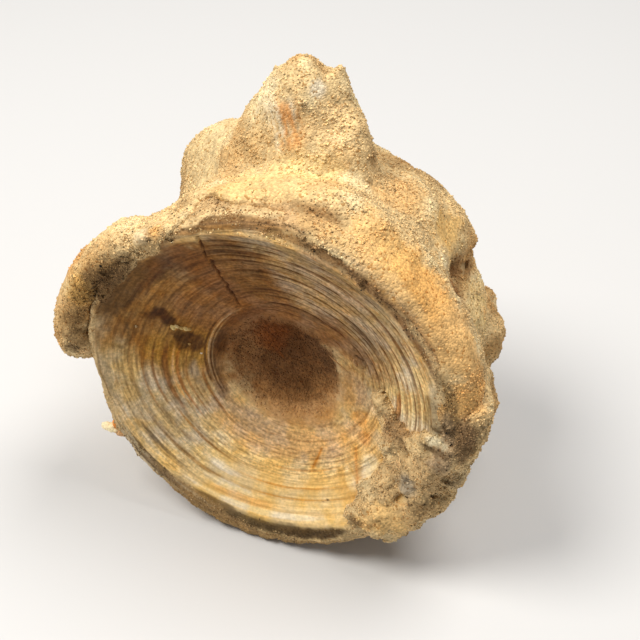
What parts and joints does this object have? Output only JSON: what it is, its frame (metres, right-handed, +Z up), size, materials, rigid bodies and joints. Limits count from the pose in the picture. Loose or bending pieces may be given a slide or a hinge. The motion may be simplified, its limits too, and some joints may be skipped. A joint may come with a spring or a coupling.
{
  "type": "fossil vertebra in sandstone matrix",
  "caption": "Fossil vertebra centrum with a deep ringed dish in its front face, standing in the rough sandstone matrix it was found in.",
  "frame": {"origin": "on the flat underside of the matrix, below the middle of the vertebra's waist", "axes": "+Z up from the underside, the front dish facing -Y and tipped 6 degrees upwards, +X to the right of someone who faces the dish"},
  "size_m": [0.0749, 0.0494, 0.0806],
  "materials": {
    "bone": "matt fossil bone, cream to brown with fine growth rings",
    "sandstone": "rough sandy stone, pale yellow-brown with dark and orange grains"
  },
  "bodies": {
    "root": {"vertebra": "bone", "matrix": "sandstone"}
  },
  "joints": []
}
